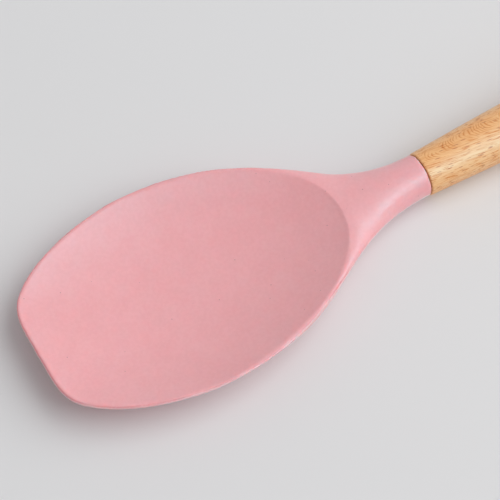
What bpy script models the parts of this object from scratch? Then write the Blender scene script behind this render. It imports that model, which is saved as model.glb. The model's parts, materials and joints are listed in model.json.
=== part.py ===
"""Silicone spatula: a shallow oval blade moulded over a nylon core, on a turned beech handle.

Every piece is modelled along the handle's axis, with x = 0 at the end of the silicone collar, the
blade towards -X, the handle towards +X and the hollow of the blade facing +Z. At the end an empty
lays the whole spatula down as it rests on a table, on the flat of its belly and on the handle.
Lengths are in metres, and heights are measured from the handle's axis.
"""

from functools import cache
from math import atan, cos, pi, radians, sin

import bmesh
import bpy
from mathutils import Vector
from mathutils.geometry import interpolate_bezier

MM = 0.001

# Plan of the silicone head
HEAD_LENGTH = 154.0 * MM
COLLAR_RADIUS = 8.15 * MM
BLADE_HALF_WIDTH = 40.6 * MM
WIDEST_FROM_COLLAR = 101.5 * MM
NECK_LEAD = 41.3 * MM
SHOULDER_LEAD = 53.5 * MM
SIDE_LEAD = 10.0 * MM
CORNER_FROM_TIP = 4.8 * MM
CORNER_HALF_WIDTH = 23.6 * MM
CORNER_ANGLE = radians(44.6)
CORNER_LEAD_BACK = 18.1 * MM
CORNER_LEAD_FRONT = 8.8 * MM
TIP_LEAD = 8.2 * MM
TIP_BOW = 0.6 * MM

# Heights of the head
NECK_LENGTH = 61.0 * MM
NECK_ROUND_TO = 28.0 * MM
NECK_SQUARE_FROM = 52.0 * MM
NECK_UNDER_LEAD = 28.0 * MM
NECK_UNDER_HEIGHT = -3.0 * MM
EDGE_RISE_STARTS = 5.3 * MM
EDGE_RISE_AT_NECK = 9.15 * MM
EDGE_RISE_AT_TIP = 12.0 * MM
LIP_HEIGHT = 0.95 * MM
LIP_WIDTH = 1.1 * MM
LIP_STEP = 0.25 * MM
BELLY_STARTS = 38.0 * MM
BELLY_FULL = 84.0 * MM
BELLY_LOW_FROM_COLLAR = 88.0 * MM
BELLY_LOW_HEIGHT = -4.3 * MM
BELLY_LEAD = 20.0 * MM
BELLY_LEAD_DROP = 1.1 * MM
BELLY_FLAT_DEPTH = 0.4 * MM

# Hollow of the blade
DISH_REAR_FROM_COLLAR = 34.9 * MM
DISH_REAR_LEAD = 31.3 * MM
DISH_SIDE_LEAD = 15.2 * MM
DISH_CENTRE_FROM_COLLAR = 85.0 * MM
DISH_DEPTH = 10.0 * MM
DISH_POWER = 2.2
FLOOR_WALL = 5.0 * MM
EDGE_WALL = 2.3 * MM
WALL_POWER = 4.0

# Nylon core inside the silicone
CORE_COVER_ABOVE = 1.2 * MM
CORE_COVER_BELOW = 1.6 * MM
CORE_EDGE_MARGIN = 11.0 * MM
SPINE_MARGIN = 2.7 * MM
SPINE_HALF_WIDTH = 12.5 * MM
SPINE_SET_IN = 0.3 * MM
SPINE_LENGTH = 78.0 * MM
KEY_HOLE_RADIUS = 3.0 * MM
KEY_PITCH = 15.0 * MM
KEY_FROM_EDGE = 8.0 * MM
KEY_FROM_SPINE = 6.0 * MM

# Steel tang, and the cured epoxy round it
TANG_RADIUS = 2.5 * MM
TANG_IN_CORE = 24.0 * MM
TANG_IN_HANDLE = 54.0 * MM
TANG_GROOVE_DEPTH = 0.4 * MM
TANG_GROOVE_WIDTH = 1.5 * MM
TANG_GROOVE_PITCH = 5.0 * MM
TANG_GROOVES = 3
TANG_CHAMFER = 0.6 * MM
EPOXY_WALL = 0.8 * MM
EPOXY_END_MARGIN = 1.0 * MM

# Beech handle
HANDLE_LENGTH = 166.0 * MM
HANDLE_STEP_OVER_COLLAR = 0.25 * MM
SHOULDER_ROUND = 0.6 * MM
FLARE_LEAD = 35.0 * MM
FLARE_RISE = 1.6 * MM
SWELL_RADIUS = 10.6 * MM
SWELL_FROM_SHOULDER = 84.0 * MM
SWELL_LEAD_BACK = 21.0 * MM
SWELL_LEAD_ON = 37.0 * MM
WAIST_RADIUS = 9.7 * MM
BUTT_ROUND = 8.0 * MM
BUTT_FLAT_RADIUS = 3.0 * MM
BORE_END_ROOM = 1.0 * MM
HANG_HOLE_RADIUS = 4.0 * MM
HANG_HOLE_FROM_END = 15.0 * MM

# Gap between two pieces that touch on the real spatula
FIT_GAP = 0.3 * MM

# How finely curves are cut into facets
NECK_STEPS = 20
SIDE_STEPS = 12
CORNER_STEPS = 9
DISH_REAR_STEPS = 15
UNDER_POINTS = 20
TOP_POINTS = 14
SPINE_POINTS = 20
HANDLE_STEPS = 7
ROUND_SIDES = 32
HOLE_SIDES = 16
DISH_RINGS = (0.2, 0.38, 0.54, 0.68, 0.8, 0.9, 1.0)
PLATE_RINGS = (0.3, 0.6, 0.82, 1.0)
SHARP_ANGLE = radians(35)

# Roundness of a section: 2 is an ellipse, and more is squarer
ROUND = 2
SQUARE_TOP = 8
SQUARE_UNDER = 7

COLOURS = {
    "silicone": (0.80, 0.36, 0.395),
    "nylon": (0.045, 0.045, 0.05),
    "steel": (0.60, 0.61, 0.62),
    "epoxy": (0.62, 0.52, 0.30),
    "beech": (0.70, 0.39, 0.18),
}


def mix(start, end, share):
    return start + (end - start) * share


def ease(share):
    """From 0 to 1 with a level start and end."""
    share = min(max(share, 0.0), 1.0)
    return share * share * (3 - 2 * share)


def bezier(knot, lead_out, lead_in, end, steps):
    """Points of one Bezier stretch, without its last, which starts the next stretch."""
    corners = [Vector(point).to_3d() for point in (knot, lead_out, lead_in, end)]
    return [point.to_2d() for point in interpolate_bezier(*corners, steps + 1)[:-1]]


def value_at(line, x):
    """Second coordinate, at x, of a line given as points that run towards the tip."""
    for near, far in zip(line, line[1:]):
        if far.x <= x <= near.x:
            return mix(near.y, far.y, (near.x - x) / (near.x - far.x))
    return line[-1].y


@cache
def front_plan():
    """Half outline of the blade, (x, half width), from its widest place round to the tip."""
    side = Vector((-WIDEST_FROM_COLLAR, BLADE_HALF_WIDTH))
    corner = Vector((CORNER_FROM_TIP - HEAD_LENGTH, CORNER_HALF_WIDTH))
    forward = Vector((-cos(CORNER_ANGLE), -sin(CORNER_ANGLE)))
    tip = Vector((-HEAD_LENGTH, 0))
    into_corner = corner - forward * CORNER_LEAD_BACK
    out_of_corner = corner + forward * CORNER_LEAD_FRONT
    into_tip = tip + Vector((TIP_BOW, TIP_LEAD))
    points = bezier(side, side - Vector((SIDE_LEAD, 0)), into_corner, corner, SIDE_STEPS)
    return points + bezier(corner, out_of_corner, into_tip, tip, CORNER_STEPS) + [tip]


@cache
def head_plan():
    """Half outline of the whole head, from the collar's end round to the tip."""
    side = front_plan()[0]
    collar = Vector((0, COLLAR_RADIUS))
    out_of_neck = collar - Vector((NECK_LEAD, 0))
    into_side = side + Vector((SHOULDER_LEAD, 0))
    return bezier(collar, out_of_neck, into_side, side, NECK_STEPS) + front_plan()


@cache
def dish_plan():
    """Half outline of the hollow, from its rear on the middle line round to the tip."""
    outline = front_plan()
    before = [outline[0] + Vector((LIP_WIDTH, 0))] + outline[:-1]
    after = outline[1:] + [Vector((outline[-1].x, -outline[-2].y))]
    front = []
    for point, start, end in zip(outline, before, after):
        along = (end - start).normalized()
        front.append(point + Vector((-along.y, along.x)) * LIP_WIDTH)
    rear = Vector((-DISH_REAR_FROM_COLLAR, 0))
    out_of_rear = rear + Vector((0, DISH_REAR_LEAD))
    into_side = front[0] + Vector((DISH_SIDE_LEAD, 0))
    return bezier(rear, out_of_rear, into_side, front[0], DISH_REAR_STEPS) + front


@cache
def neck_underside():
    """The lowest line of the neck, (x, height), from the collar's end to the belly."""
    collar = Vector((0, -COLLAR_RADIUS))
    out_of_neck = (-NECK_UNDER_LEAD, NECK_UNDER_HEIGHT)
    low = Vector((-BELLY_LOW_FROM_COLLAR, BELLY_LOW_HEIGHT))
    into_belly = low + Vector((BELLY_LEAD, -BELLY_LEAD_DROP))
    return bezier(collar, out_of_neck, into_belly, low, NECK_STEPS) + [low]


def rise_at(x):
    """Height of the blade's widest line above the handle's axis, rising to the tip."""
    along = (-x - NECK_LENGTH) / (HEAD_LENGTH - NECK_LENGTH)
    return mix(EDGE_RISE_AT_NECK, EDGE_RISE_AT_TIP, along)


def edge_height(x):
    """Height of the head's widest line: on the axis at the collar, near the top in the blade."""
    return rise_at(x) * ease((-x - EDGE_RISE_STARTS) / (NECK_LENGTH - EDGE_RISE_STARTS))


def top_height(x):
    """Height of the flat top of the neck and of the crest of the rim."""
    return mix(COLLAR_RADIUS, rise_at(x) + LIP_HEIGHT, ease(-x / NECK_LENGTH))


@cache
def dish_share(x, y):
    """How far (x, y) lies from the hollow's centre to its edge, and the x of that edge."""
    centre = Vector((-DISH_CENTRE_FROM_COLLAR, 0))
    ray = Vector((x, abs(y))) - centre
    if ray.length < MM / 1000:
        return 0.0, x
    outline = dish_plan()
    for start, end in zip(outline, outline[1:]):
        near = start - centre
        far = end - centre
        if ray.cross(near) <= 1e-12 and ray.cross(far) >= -1e-12:
            reach = near.cross(far) / ray.cross(far - near)
            return 1 / reach, centre.x + ray.x * reach
    return 1.0, x


@cache
def floor_height(x, y):
    """Height of the hollow's surface, and of its edge outside it."""
    share, edge_x = dish_share(x, y)
    if share >= 1:
        return top_height(x) - LIP_STEP
    middle = top_height(-DISH_CENTRE_FROM_COLLAR) - DISH_DEPTH
    return mix(middle, top_height(edge_x) - LIP_STEP, share**DISH_POWER)


def wall_under(x, y):
    """Thickness of the blade under the hollow, thinner towards the rim."""
    share = min(dish_share(x, y)[0], 1.0)
    return mix(FLOOR_WALL, EDGE_WALL, share**WALL_POWER)


def belly_share(x):
    """From 0 in the neck to 1 in the blade."""
    return ease((-x - BELLY_STARTS) / (BELLY_FULL - BELLY_STARTS))


def underside(x, y):
    """Height of the head's lower surface, before it rounds up to its edge."""
    blade = floor_height(x, y) - wall_under(x, y)
    return mix(value_at(neck_underside(), x), blade, belly_share(x))


def rounded(across, power):
    """Height, from 1 to 0, of a rounded section at a place across it, from 0 to 1."""
    return max(1 - abs(across) ** power, 0.0) ** (1 / power)


def head_section(x, half_width):
    """One closed section of the head: round at the collar, flat-topped and shallow in the blade."""
    edge = edge_height(x)
    squareness = ease((-x - NECK_ROUND_TO) / (NECK_SQUARE_FROM - NECK_ROUND_TO))
    top_power = mix(ROUND, SQUARE_TOP, squareness)
    under_power = mix(ROUND, SQUARE_UNDER, belly_share(x))
    section = []
    for step in range(UNDER_POINTS):
        across = sin(pi * step / UNDER_POINTS - pi / 2)
        y = half_width * across
        drop = (edge - underside(x, y)) * rounded(across, under_power)
        section.append((x, y, edge - drop))
    for step in range(TOP_POINTS):
        across = sin(pi / 2 - pi * step / TOP_POINTS)
        lift = (top_height(x) - edge) * rounded(across, top_power)
        section.append((x, half_width * across, edge + lift))
    return section


def oval(x, half_width, half_height, middle=0.0, points=ROUND_SIDES):
    """One closed oval section round the handle's axis, or at a height over it."""
    turns = [2 * pi * step / points for step in range(points)]
    return [(x, half_width * cos(turn), middle + half_height * sin(turn)) for turn in turns]


def skin(sections, closed=False):
    """A mesh over sections of equal count. Its two ends get a cap, or meet each other."""
    bm = bmesh.new()
    rings = [[bm.verts.new(point) for point in section] for section in sections]
    pairs = list(zip(rings, rings[1:]))
    if closed:
        pairs.append((rings[-1], rings[0]))
    else:
        bm.faces.new(rings[0])
        bm.faces.new(rings[-1])
    for near, far in pairs:
        for index in range(len(near)):
            after = (index + 1) % len(near)
            bm.faces.new((near[index], near[after], far[after], far[index]))
    return bm


def add_object(name, bm, material=None):
    """Makes the mesh an object. Without a material it is a cutter, which isn't a piece."""
    bmesh.ops.recalc_face_normals(bm, faces=bm.faces)
    mesh = bpy.data.meshes.new(name)
    bm.to_mesh(mesh)
    bm.free()
    made = bpy.data.objects.new(name, mesh)
    bpy.context.scene.collection.objects.link(made)
    if material is None:
        made.hide_render = True
        made.display_type = "WIRE"
        return made
    mesh.materials.append(material)
    mesh.shade_smooth()
    mesh.set_sharp_from_angle(angle=SHARP_ANGLE)
    return made


def drill(name, radius, start, end, sides=HOLE_SIDES):
    """A round cutter from one point to another."""
    start = Vector(start)
    end = Vector(end)
    bm = bmesh.new()
    bmesh.ops.create_cone(
        bm, cap_ends=True, segments=sides, radius1=radius, radius2=radius, depth=(end - start).length
    )
    turn = Vector((0, 0, 1)).rotation_difference(end - start)
    bmesh.ops.rotate(bm, verts=bm.verts, matrix=turn.to_matrix())
    bmesh.ops.translate(bm, verts=bm.verts, vec=(start + end) / 2)
    return add_object(name, bm)


def combine(target, other, operation):
    modifier = target.modifiers.new(f"{operation.lower()} {other.name}", "BOOLEAN")
    modifier.operation = operation
    modifier.object = other


def finish(name, roughness, metallic=0.0):
    material = bpy.data.materials.new(name)
    material.use_nodes = True
    shader = material.node_tree.nodes["Principled BSDF"]
    shader.inputs["Base Color"].default_value = (*COLOURS[name], 1)
    shader.inputs["Roughness"].default_value = roughness
    shader.inputs["Metallic"].default_value = metallic
    return material


def full_loop(half):
    """A closed outline from its half, whose first and last points lie on the middle line."""
    return half + [Vector((point.x, -point.y)) for point in reversed(half[1:-1])]


def blade_ring(loop, share, height):
    """The outline drawn in towards the hollow's centre, each point at its own height."""
    centre = Vector((-DISH_CENTRE_FROM_COLLAR, 0))
    ring = [centre + (point - centre) * share for point in loop]
    return [(point.x, point.y, height(point.x, point.y)) for point in ring]


def make_dish_cutter():
    """What the hollow holds: the bowl up to its edge, and straight up from there."""
    loop = full_loop(dish_plan())
    rings = [blade_ring(loop, share, floor_height) for share in DISH_RINGS]
    above = top_height(-HEAD_LENGTH) + DISH_DEPTH
    rings.append([(x, y, above) for x, y, _ in rings[-1]])
    return add_object("dish_cutter", skin(rings))


def core_plate(name, grow, material=None):
    """The core's plate, which follows the hollow, grown all round by grow."""
    centre = Vector((-DISH_CENTRE_FROM_COLLAR, 0))
    loop = []
    for point in full_loop(dish_plan())[::2]:
        reach = (point - centre).length
        loop.append(centre + (point - centre) * (reach - CORE_EDGE_MARGIN + grow) / reach)

    def above(x, y):
        return floor_height(x, y) - CORE_COVER_ABOVE + grow

    def below(x, y):
        return floor_height(x, y) - wall_under(x, y) + CORE_COVER_BELOW - grow

    rings = [blade_ring(loop, share, above) for share in PLATE_RINGS]
    rings += [blade_ring(loop, share, below) for share in reversed(PLATE_RINGS)]
    return add_object(name, skin(rings), material)


def core_spine(name, grow, mouth):
    """The core's spine, from its mouth at the collar to its end in the plate, grown by grow."""
    boss = COLLAR_RADIUS - SPINE_MARGIN
    sections = []
    for step in range(NECK_STEPS + 1):
        x = mix(mouth, -SPINE_LENGTH - grow, step / NECK_STEPS)
        inside = min(x, 0.0)
        half = min(value_at(head_plan(), inside) - SPINE_MARGIN, SPINE_HALF_WIDTH) + grow
        ceiling = floor_height(inside, 0) - CORE_COVER_ABOVE - SPINE_SET_IN
        ground = underside(inside, 0) + CORE_COVER_BELOW + SPINE_SET_IN
        top = min(boss, ceiling) + grow
        bottom = max(-boss, ground) - grow
        sections.append(oval(x, half, (top - bottom) / 2, (top + bottom) / 2, SPINE_POINTS))
    return add_object(name, skin(sections))


def key_holes(name, grow):
    """Round cutters through the plate, where the silicone runs through it and keys to it.

    Their rows follow the plate's two sides, from just beyond the spine's end towards the tip.
    """
    first = SPINE_LENGTH + KEY_FROM_SPINE
    last = HEAD_LENGTH - LIP_WIDTH - CORE_EDGE_MARGIN - KEY_FROM_EDGE
    holes = []
    for row in range(int((last - first) / KEY_PITCH) + 1):
        x = -first - row * KEY_PITCH
        offset = value_at(dish_plan(), x) - CORE_EDGE_MARGIN - KEY_FROM_EDGE
        for side, y in (("left", -offset), ("right", offset)):
            low = (x, y, -2 * COLLAR_RADIUS)
            high = (x, y, 3 * COLLAR_RADIUS)
            holes.append(drill(f"{name}_{row + 1}_{side}", KEY_HOLE_RADIUS - grow, low, high))
    return holes


def make_nylon_core(material):
    core = core_plate("nylon_core", 0, material)
    for hole in key_holes("core_hole", 0):
        combine(core, hole, "DIFFERENCE")
    spine = core_spine("core_spine", 0, 0)
    far_end = (-TANG_IN_CORE - FIT_GAP, 0, 0)
    bore = drill("core_bore", TANG_RADIUS + FIT_GAP, far_end, (COLLAR_RADIUS, 0, 0), ROUND_SIDES)
    combine(spine, bore, "DIFFERENCE")
    combine(core, spine, "UNION")
    return core


def cut_core_pocket(head):
    """Cuts the space that the core takes up in the silicone, open at the collar's end."""
    plate = core_plate("pocket_plate", FIT_GAP)
    for hole in key_holes("silicone_key", FIT_GAP):
        combine(plate, hole, "DIFFERENCE")
    combine(head, plate, "DIFFERENCE")
    combine(head, core_spine("pocket_spine", FIT_GAP, COLLAR_RADIUS), "DIFFERENCE")


def flatten_belly(bm):
    """Cuts the belly flat where it stands on the table."""
    slope, height = table_line()
    cut = bmesh.ops.bisect_plane(
        bm,
        geom=bm.verts[:] + bm.edges[:] + bm.faces[:],
        plane_co=(0, 0, height),
        plane_no=(slope, 0, -1),
        clear_outer=True,
    )
    rim = [item for item in cut["geom_cut"] if isinstance(item, bmesh.types.BMEdge)]
    bmesh.ops.contextual_create(bm, geom=rim)


def make_silicone_head(material):
    plan = head_plan()[:-1]
    sections = [head_section(point.x, point.y) for point in plan]
    sections.append(head_section(-HEAD_LENGTH, plan[-1].y / 2))
    bm = skin(sections)
    flatten_belly(bm)
    head = add_object("silicone_head", bm, material)
    combine(head, make_dish_cutter(), "DIFFERENCE")
    cut_core_pocket(head)
    return head


def tang_grooves(start):
    """The profile of a row of grooves cut into the tang, from the first one's start."""
    bottom = TANG_RADIUS - TANG_GROOVE_DEPTH
    profile = []
    for index in range(TANG_GROOVES):
        near = start + index * TANG_GROOVE_PITCH
        far = near + TANG_GROOVE_WIDTH
        profile += [(near, TANG_RADIUS), (near, bottom), (far, bottom), (far, TANG_RADIUS)]
    return profile


def make_steel_tang(material):
    """A round rod with a few grooves near each end, which the nylon and the epoxy grip."""
    row = TANG_GROOVES * TANG_GROOVE_PITCH + TANG_GROOVE_WIDTH
    profile = [(-TANG_IN_CORE, TANG_RADIUS - TANG_CHAMFER), (TANG_CHAMFER - TANG_IN_CORE, TANG_RADIUS)]
    profile += tang_grooves(TANG_GROOVE_PITCH - TANG_IN_CORE)
    profile += tang_grooves(TANG_IN_HANDLE - row)
    profile += [(TANG_IN_HANDLE - TANG_CHAMFER, TANG_RADIUS), (TANG_IN_HANDLE, TANG_RADIUS - TANG_CHAMFER)]
    sections = [oval(x, radius, radius, points=HOLE_SIDES) for x, radius in profile]
    return add_object("steel_tang", skin(sections), material)


def make_epoxy_sleeve(material):
    """The cured glue between the tang and the handle's bore."""
    inner = TANG_RADIUS + FIT_GAP
    outer = inner + EPOXY_WALL
    start = FIT_GAP + EPOXY_END_MARGIN
    profile = [(start, inner), (start, outer), (TANG_IN_HANDLE, outer), (TANG_IN_HANDLE, inner)]
    bm = skin([oval(x, radius, radius, points=HOLE_SIDES) for x, radius in profile], closed=True)
    return add_object("epoxy_sleeve", bm, material)


@cache
def handle_profile():
    """The handle's outer line, (x, radius), from its shoulder against the collar to its butt."""
    start = FIT_GAP
    end = start + HANDLE_LENGTH
    radius = COLLAR_RADIUS + HANDLE_STEP_OVER_COLLAR
    shoulder = Vector((start + SHOULDER_ROUND, radius))
    swell = Vector((start + SWELL_FROM_SHOULDER, SWELL_RADIUS))
    waist = Vector((end - BUTT_ROUND, WAIST_RADIUS))
    flat = Vector((end, BUTT_FLAT_RADIUS))
    edge = Vector((start, radius - SHOULDER_ROUND))
    line = bezier(edge, (start, mix(edge.y, radius, 0.55)), mix(edge, shoulder, 0.8), shoulder, 3)
    flare = shoulder + Vector((FLARE_LEAD, FLARE_RISE))
    line += bezier(shoulder, flare, swell - Vector((SWELL_LEAD_BACK, 0)), swell, HANDLE_STEPS)
    taper = waist - Vector((SWELL_LEAD_ON, 0))
    line += bezier(swell, swell + Vector((SWELL_LEAD_ON, 0)), taper, waist, HANDLE_STEPS)
    out_of_waist = waist + Vector((BUTT_ROUND * 0.6, 0))
    into_flat = flat + Vector((0, (WAIST_RADIUS - BUTT_FLAT_RADIUS) * 0.6))
    return line + bezier(waist, out_of_waist, into_flat, flat, HANDLE_STEPS) + [flat]


def make_beech_handle(material):
    bore = TANG_RADIUS + FIT_GAP + EPOXY_WALL + FIT_GAP
    profile = [(TANG_IN_HANDLE + BORE_END_ROOM, bore), (FIT_GAP, bore)]
    profile += [tuple(point) for point in handle_profile()]
    sections = [oval(x, radius, radius) for x, radius in profile]
    handle = add_object("beech_handle", skin(sections), material)
    x = FIT_GAP + HANDLE_LENGTH - HANG_HOLE_FROM_END
    reach = 2 * SWELL_RADIUS
    hole = drill("hang_hole", HANG_HOLE_RADIUS, (x, 0, -reach), (x, 0, reach), ROUND_SIDES)
    combine(handle, hole, "DIFFERENCE")
    return handle


@cache
def table_line():
    """Slope and height at x = 0 of the table under the spatula, seen along the handle.

    The line touches the handle from below and cuts the belly by the depth of its flat.
    """
    belly = [(point.x, underside(point.x, 0)) for point in head_plan()]
    handle = [(point.x, -point.y) for point in handle_profile()]

    def lowest(line, slope):
        return min(z - slope * x for x, z in line)

    low, high = -0.5, 0.5
    for _ in range(40):
        slope = (low + high) / 2
        if lowest(belly, slope) + BELLY_FLAT_DEPTH < lowest(handle, slope):
            low = slope
        else:
            high = slope
    return slope, lowest(handle, slope)


def lay_on_table(ends):
    """Turns and moves everything with one empty, so that the table is z = 0 under its middle."""
    slope, height = table_line()
    turn = atan(slope)
    corners = [vertex.co for piece in ends for vertex in piece.data.vertices]
    reach = [corner.x * cos(turn) + corner.z * sin(turn) for corner in corners]
    rest = bpy.data.objects.new("spatula", None)
    bpy.context.scene.collection.objects.link(rest)
    rest.rotation_euler.y = turn
    rest.location = (-(min(reach) + max(reach)) / 2, 0, -height * cos(turn))
    for made in bpy.data.objects:
        if made != rest:
            made.parent = rest


for old in list(bpy.data.objects):
    bpy.data.objects.remove(old)

head = make_silicone_head(finish("silicone", 0.5))
make_nylon_core(finish("nylon", 0.55))
make_steel_tang(finish("steel", 0.3, 1.0))
make_epoxy_sleeve(finish("epoxy", 0.35))
handle = make_beech_handle(finish("beech", 0.5))
lay_on_table((head, handle))
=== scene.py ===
# %% [markdown]
# # A silicone spatula
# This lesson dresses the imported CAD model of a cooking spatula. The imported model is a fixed
# frame: it says where each piece is and how large it may be. Two pieces show, the pink silicone
# head and the turned beech handle, and three more are hidden inside them. All lengths are in
# metres.

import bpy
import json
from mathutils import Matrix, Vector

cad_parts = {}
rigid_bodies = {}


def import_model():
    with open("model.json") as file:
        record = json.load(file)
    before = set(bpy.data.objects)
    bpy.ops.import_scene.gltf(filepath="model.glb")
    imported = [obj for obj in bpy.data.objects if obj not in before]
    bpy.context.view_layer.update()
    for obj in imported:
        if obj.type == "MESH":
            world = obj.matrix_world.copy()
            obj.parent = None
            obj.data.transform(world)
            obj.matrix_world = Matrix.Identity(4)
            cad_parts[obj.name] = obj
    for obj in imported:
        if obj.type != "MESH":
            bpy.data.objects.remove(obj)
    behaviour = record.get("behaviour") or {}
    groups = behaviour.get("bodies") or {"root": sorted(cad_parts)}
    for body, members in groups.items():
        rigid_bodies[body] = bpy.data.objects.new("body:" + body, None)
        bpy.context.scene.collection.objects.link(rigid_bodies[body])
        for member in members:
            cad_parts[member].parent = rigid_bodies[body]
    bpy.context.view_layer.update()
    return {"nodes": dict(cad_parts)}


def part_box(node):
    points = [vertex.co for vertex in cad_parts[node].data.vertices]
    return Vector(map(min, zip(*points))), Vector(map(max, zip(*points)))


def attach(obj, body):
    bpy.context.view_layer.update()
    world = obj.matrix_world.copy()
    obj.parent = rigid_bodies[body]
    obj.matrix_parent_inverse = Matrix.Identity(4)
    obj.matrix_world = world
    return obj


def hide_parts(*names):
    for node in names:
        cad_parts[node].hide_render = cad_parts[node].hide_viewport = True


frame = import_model()

# %% [markdown]
# ## How the spatula lies
# A long tool is easier to model along its own axis than tilted. So each piece is made with the
# handle's axis along X, the end of the silicone collar at x = 0, the blade towards -X and the
# hollow facing up, and it is laid down last. The steel tang inside runs along that axis, so its
# two flat ends in the frame tell how the whole spatula lies.

# %% Read the lie of the spatula from the tang
import json
from math import atan2, cos, pi, radians, sin, sqrt

import bpy
from mathutils import Euler, Matrix, Vector
from mathutils.geometry import interpolate_bezier
from mathutils.kdtree import KDTree

MM = 0.001
TANG_IN_CORE = 24.0 * MM
END_SLICE = 0.3 * MM


def middle_of_end(corners, end_x):
    """Middle of the rod's flat end, from the corners that lie within a slice of it."""
    end = [corner for corner in corners if abs(corner.x - end_x) < END_SLICE]
    low = Vector([min(corner[axis] for corner in end) for axis in range(3)])
    high = Vector([max(corner[axis] for corner in end) for axis in range(3)])
    return (low + high) / 2


tang_corners = [vertex.co for vertex in frame["nodes"]["steel_tang"].data.vertices]
tang_low, tang_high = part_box("steel_tang")
tang_start = middle_of_end(tang_corners, tang_low.x)
tang_end = middle_of_end(tang_corners, tang_high.x)
along_handle = (tang_end - tang_start).normalized()
lie_angle = atan2(-along_handle.z, along_handle.x)
collar_end = tang_start + along_handle * TANG_IN_CORE
lying = Matrix.Translation(collar_end) @ Matrix.Rotation(lie_angle, 4, "Y")
print("turn about Y in degrees:", round(lie_angle * 180 / pi, 3), "collar's end:", collar_end)

# %% [markdown]
# ## Camera
# The camera comes first, because every later choice is judged through it. A long lens from far
# away keeps the spatula's lines nearly parallel, as in the photograph. The camera looks down
# steeply and from the side, so that the blade lies low on the left and the handle leaves at the
# upper right.

# %% Camera
IMAGE_PIXELS = 500
SENSOR_WIDTH = 36.0
CAMERA_TURN = radians(-30.06)
CAMERA_ELEVATION = radians(62.55)
CAMERA_DISTANCE = 0.7
CAMERA_AIM = Vector((-68.46, 4.34, 0.0)) * MM
PIXELS_PER_MM = 2.82

bpy.ops.object.select_all(action="DESELECT")
bpy.ops.object.camera_add()
camera = bpy.context.object
camera.name = "camera"
camera_turn = Euler((pi / 2 - CAMERA_ELEVATION, 0, CAMERA_TURN)).to_matrix()
camera_place = CAMERA_AIM + camera_turn @ Vector((0, 0, CAMERA_DISTANCE))
camera.matrix_world = lying @ Matrix.Translation(camera_place) @ camera_turn.to_4x4()
camera.data.sensor_width = SENSOR_WIDTH
camera.data.lens = SENSOR_WIDTH * PIXELS_PER_MM * CAMERA_DISTANCE / MM / IMAGE_PIXELS
bpy.context.scene.camera = camera
print("lens in mm:", round(camera.data.lens, 1))

# %% [markdown]
# ## Floor
# The spatula lies on a plain pale floor. A detailed table top could be made, but a plane with a
# hardly visible cloud in its colour keeps the soft shadow and draws no attention. It has no gloss,
# so it doesn't glare when it is seen from behind.

# %% Helpers for a material
MIX_SHARE, MIX_FIRST, MIX_SECOND, MIX_RESULT = 0, 6, 7, 2


def new_material(name, roughness):
    """A material, its node tree and its shader."""
    material = bpy.data.materials.new(name)
    material.use_nodes = True
    tree = material.node_tree
    shader = tree.nodes["Principled BSDF"]
    shader.inputs["Roughness"].default_value = roughness
    return material, tree, shader


def add_node(tree, kind, **inputs):
    """A node with its sockets set by name, or by number as i0, i1 and so on.

    A value is written in, and a socket is linked.
    """
    node = tree.nodes.new(kind)
    for label, value in inputs.items():
        socket = node.inputs[int(label[1:]) if label[0] == "i" and label[1:].isdigit() else label]
        if isinstance(value, bpy.types.NodeSocket):
            tree.links.new(value, socket)
        else:
            socket.default_value = value
    return node


def noise_node(tree, vector, scale, detail=2.0, roughness=0.5, distortion=0.0):
    """Soft random values from 0 to 1. The scale counts its spots in one metre."""
    node = add_node(
        tree, "ShaderNodeTexNoise", Vector=vector, Scale=scale, Detail=detail,
        Roughness=roughness, Distortion=distortion,
    )
    return node.outputs["Fac"]


def colour_mix(tree, share, first, second):
    """The second colour over the first by a share."""
    node = tree.nodes.new("ShaderNodeMix")
    node.data_type = "RGBA"
    tree.links.new(share, node.inputs[MIX_SHARE])
    for number, colour in ((MIX_FIRST, first), (MIX_SECOND, second)):
        if isinstance(colour, bpy.types.NodeSocket):
            tree.links.new(colour, node.inputs[number])
        else:
            node.inputs[number].default_value = (*colour, 1)
    return node.outputs[MIX_RESULT]


# %% Floor
FLOOR_SIDE = 6.0
FLOOR_COLOUR = (0.78, 0.785, 0.80)
FLOOR_COLOUR_WARM = (0.79, 0.785, 0.79)
FLOOR_CLOUDS_PER_M = 6.0
FLOOR_ROUGHNESS = 0.6
FLOOR_GLOSS = 0.0

bpy.ops.object.select_all(action="DESELECT")
bpy.ops.mesh.primitive_plane_add(size=FLOOR_SIDE)
floor = bpy.context.object
floor.name = "floor"
floor_material, tree, shader = new_material("pale_floor", FLOOR_ROUGHNESS)
shader.inputs["Specular IOR Level"].default_value = FLOOR_GLOSS
place = tree.nodes.new("ShaderNodeTexCoord").outputs["Object"]
cloud = noise_node(tree, place, FLOOR_CLOUDS_PER_M, detail=3.0)
floor_colour = colour_mix(tree, cloud, FLOOR_COLOUR, FLOOR_COLOUR_WARM)
tree.links.new(floor_colour, shader.inputs["Base Color"])
floor.data.materials.append(floor_material)
print("floor:", FLOOR_SIDE, "m wide")

# %% [markdown]
# ## Light
# One lamp could throw the shadow and draw the highlights, but two can be set apart. A large lamp
# beyond the butt throws the soft shadow at the front edge and is kept out of reflections. A
# second lamp, as wide as a window, shows in reflections only: it draws the pale satin band along
# the neck and the handle. Red is nearly full on lit pink silicone, so that a white lamp would
# clip there, and this one is tinted green-blue. A pale world fills in the rest. It looks brighter
# to the camera and in reflections than it shines, so the background stays pale without lighting
# the object more.

# %% Lamps
LAMP_DISTANCE = 2.2
KEY_DIRECTION = Vector((0.68, -0.28, 0.72)).normalized()
KEY_SIZE = (2.6, 2.6)
KEY_POWER = 43.0
WINDOW_DIRECTION = Vector((0.50, -0.56, 0.70)).normalized()
WINDOW_SIZE = (3.2, 1.1)
WINDOW_POWER = 76.0
WINDOW_COLOUR = (0.2, 0.9, 1.0)


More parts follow.
